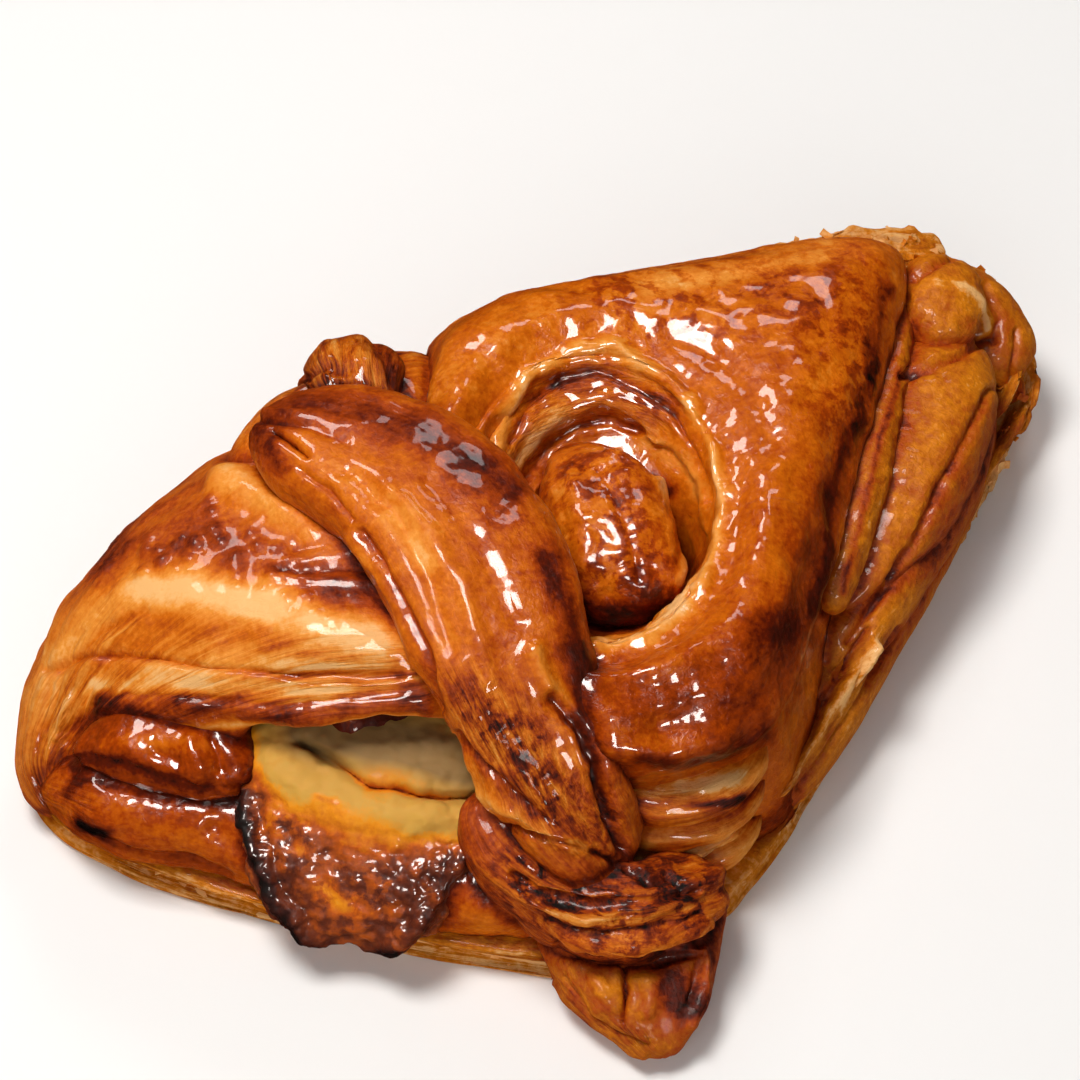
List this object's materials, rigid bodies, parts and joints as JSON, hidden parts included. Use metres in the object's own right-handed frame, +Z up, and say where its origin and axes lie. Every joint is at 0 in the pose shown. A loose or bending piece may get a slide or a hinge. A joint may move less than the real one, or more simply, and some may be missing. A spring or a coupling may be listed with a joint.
{
  "type": "cheese danish",
  "caption": "Glazed laminated pastry folded over a cheese filling, with an open mouth, a sunken swirl and a strap of dough wrapped across it.",
  "frame": {"origin": "middle of the bounding box, on the flat underside", "axes": "+X to the right along the pastry's length, +Y to the back where the strap is tucked under, +Z up"},
  "size_m": [0.1158, 0.0977, 0.0396],
  "materials": {
    "crust": "egg-glazed baked pastry",
    "cheese": "baked soft cheese"
  },
  "bodies": {
    "root": {"pastry": "crust", "cheese_filling": "cheese"}
  },
  "joints": []
}
